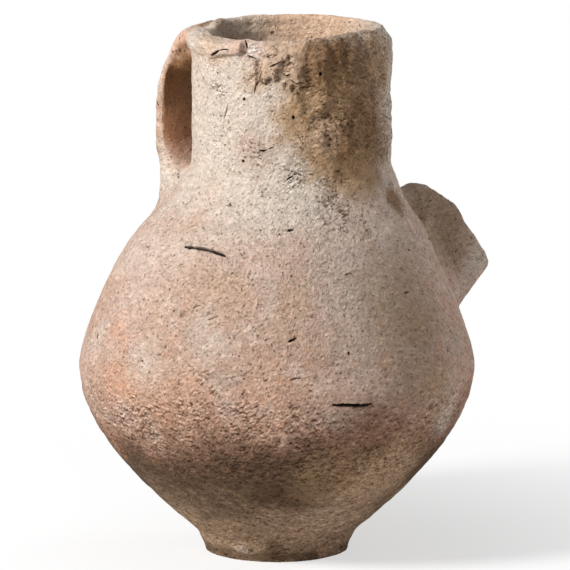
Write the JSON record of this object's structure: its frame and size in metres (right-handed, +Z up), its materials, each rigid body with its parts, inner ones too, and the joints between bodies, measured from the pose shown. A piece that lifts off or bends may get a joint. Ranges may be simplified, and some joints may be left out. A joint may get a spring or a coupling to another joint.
{
  "type": "strainer-spout jug",
  "caption": "Round-shouldered fired clay jug with a tall neck, a strap handle from the lip, a trough spout over a pierced strainer and a disc foot.",
  "frame": {"origin": "middle of the flat underside of the foot, on the surface the jug stands on", "axes": "+Z up along the jug's axis; +Y from the axis towards the handle; +X towards the spout, which is turned 10 degrees away from the handle"},
  "size_m": [0.1678, 0.1504, 0.2],
  "materials": {
    "brown_clay": "matt fired clay, rough, brown",
    "pink_clay": "matt fired clay, rough, pinkish buff",
    "cream_clay": "matt fired clay, flaking, cream",
    "tan_clay": "matt fired clay, pitted, tan"
  },
  "bodies": {
    "root": {"foot_disc": "brown_clay", "lower_body": "brown_clay", "upper_body": "pink_clay", "neck": "cream_clay", "neck_coil": "cream_clay", "lip_band": "tan_clay", "handle_lap": "tan_clay", "handle": "pink_clay", "handle_coil": "pink_clay", "spout": "tan_clay", "spout_coil": "tan_clay"}
  },
  "joints": []
}
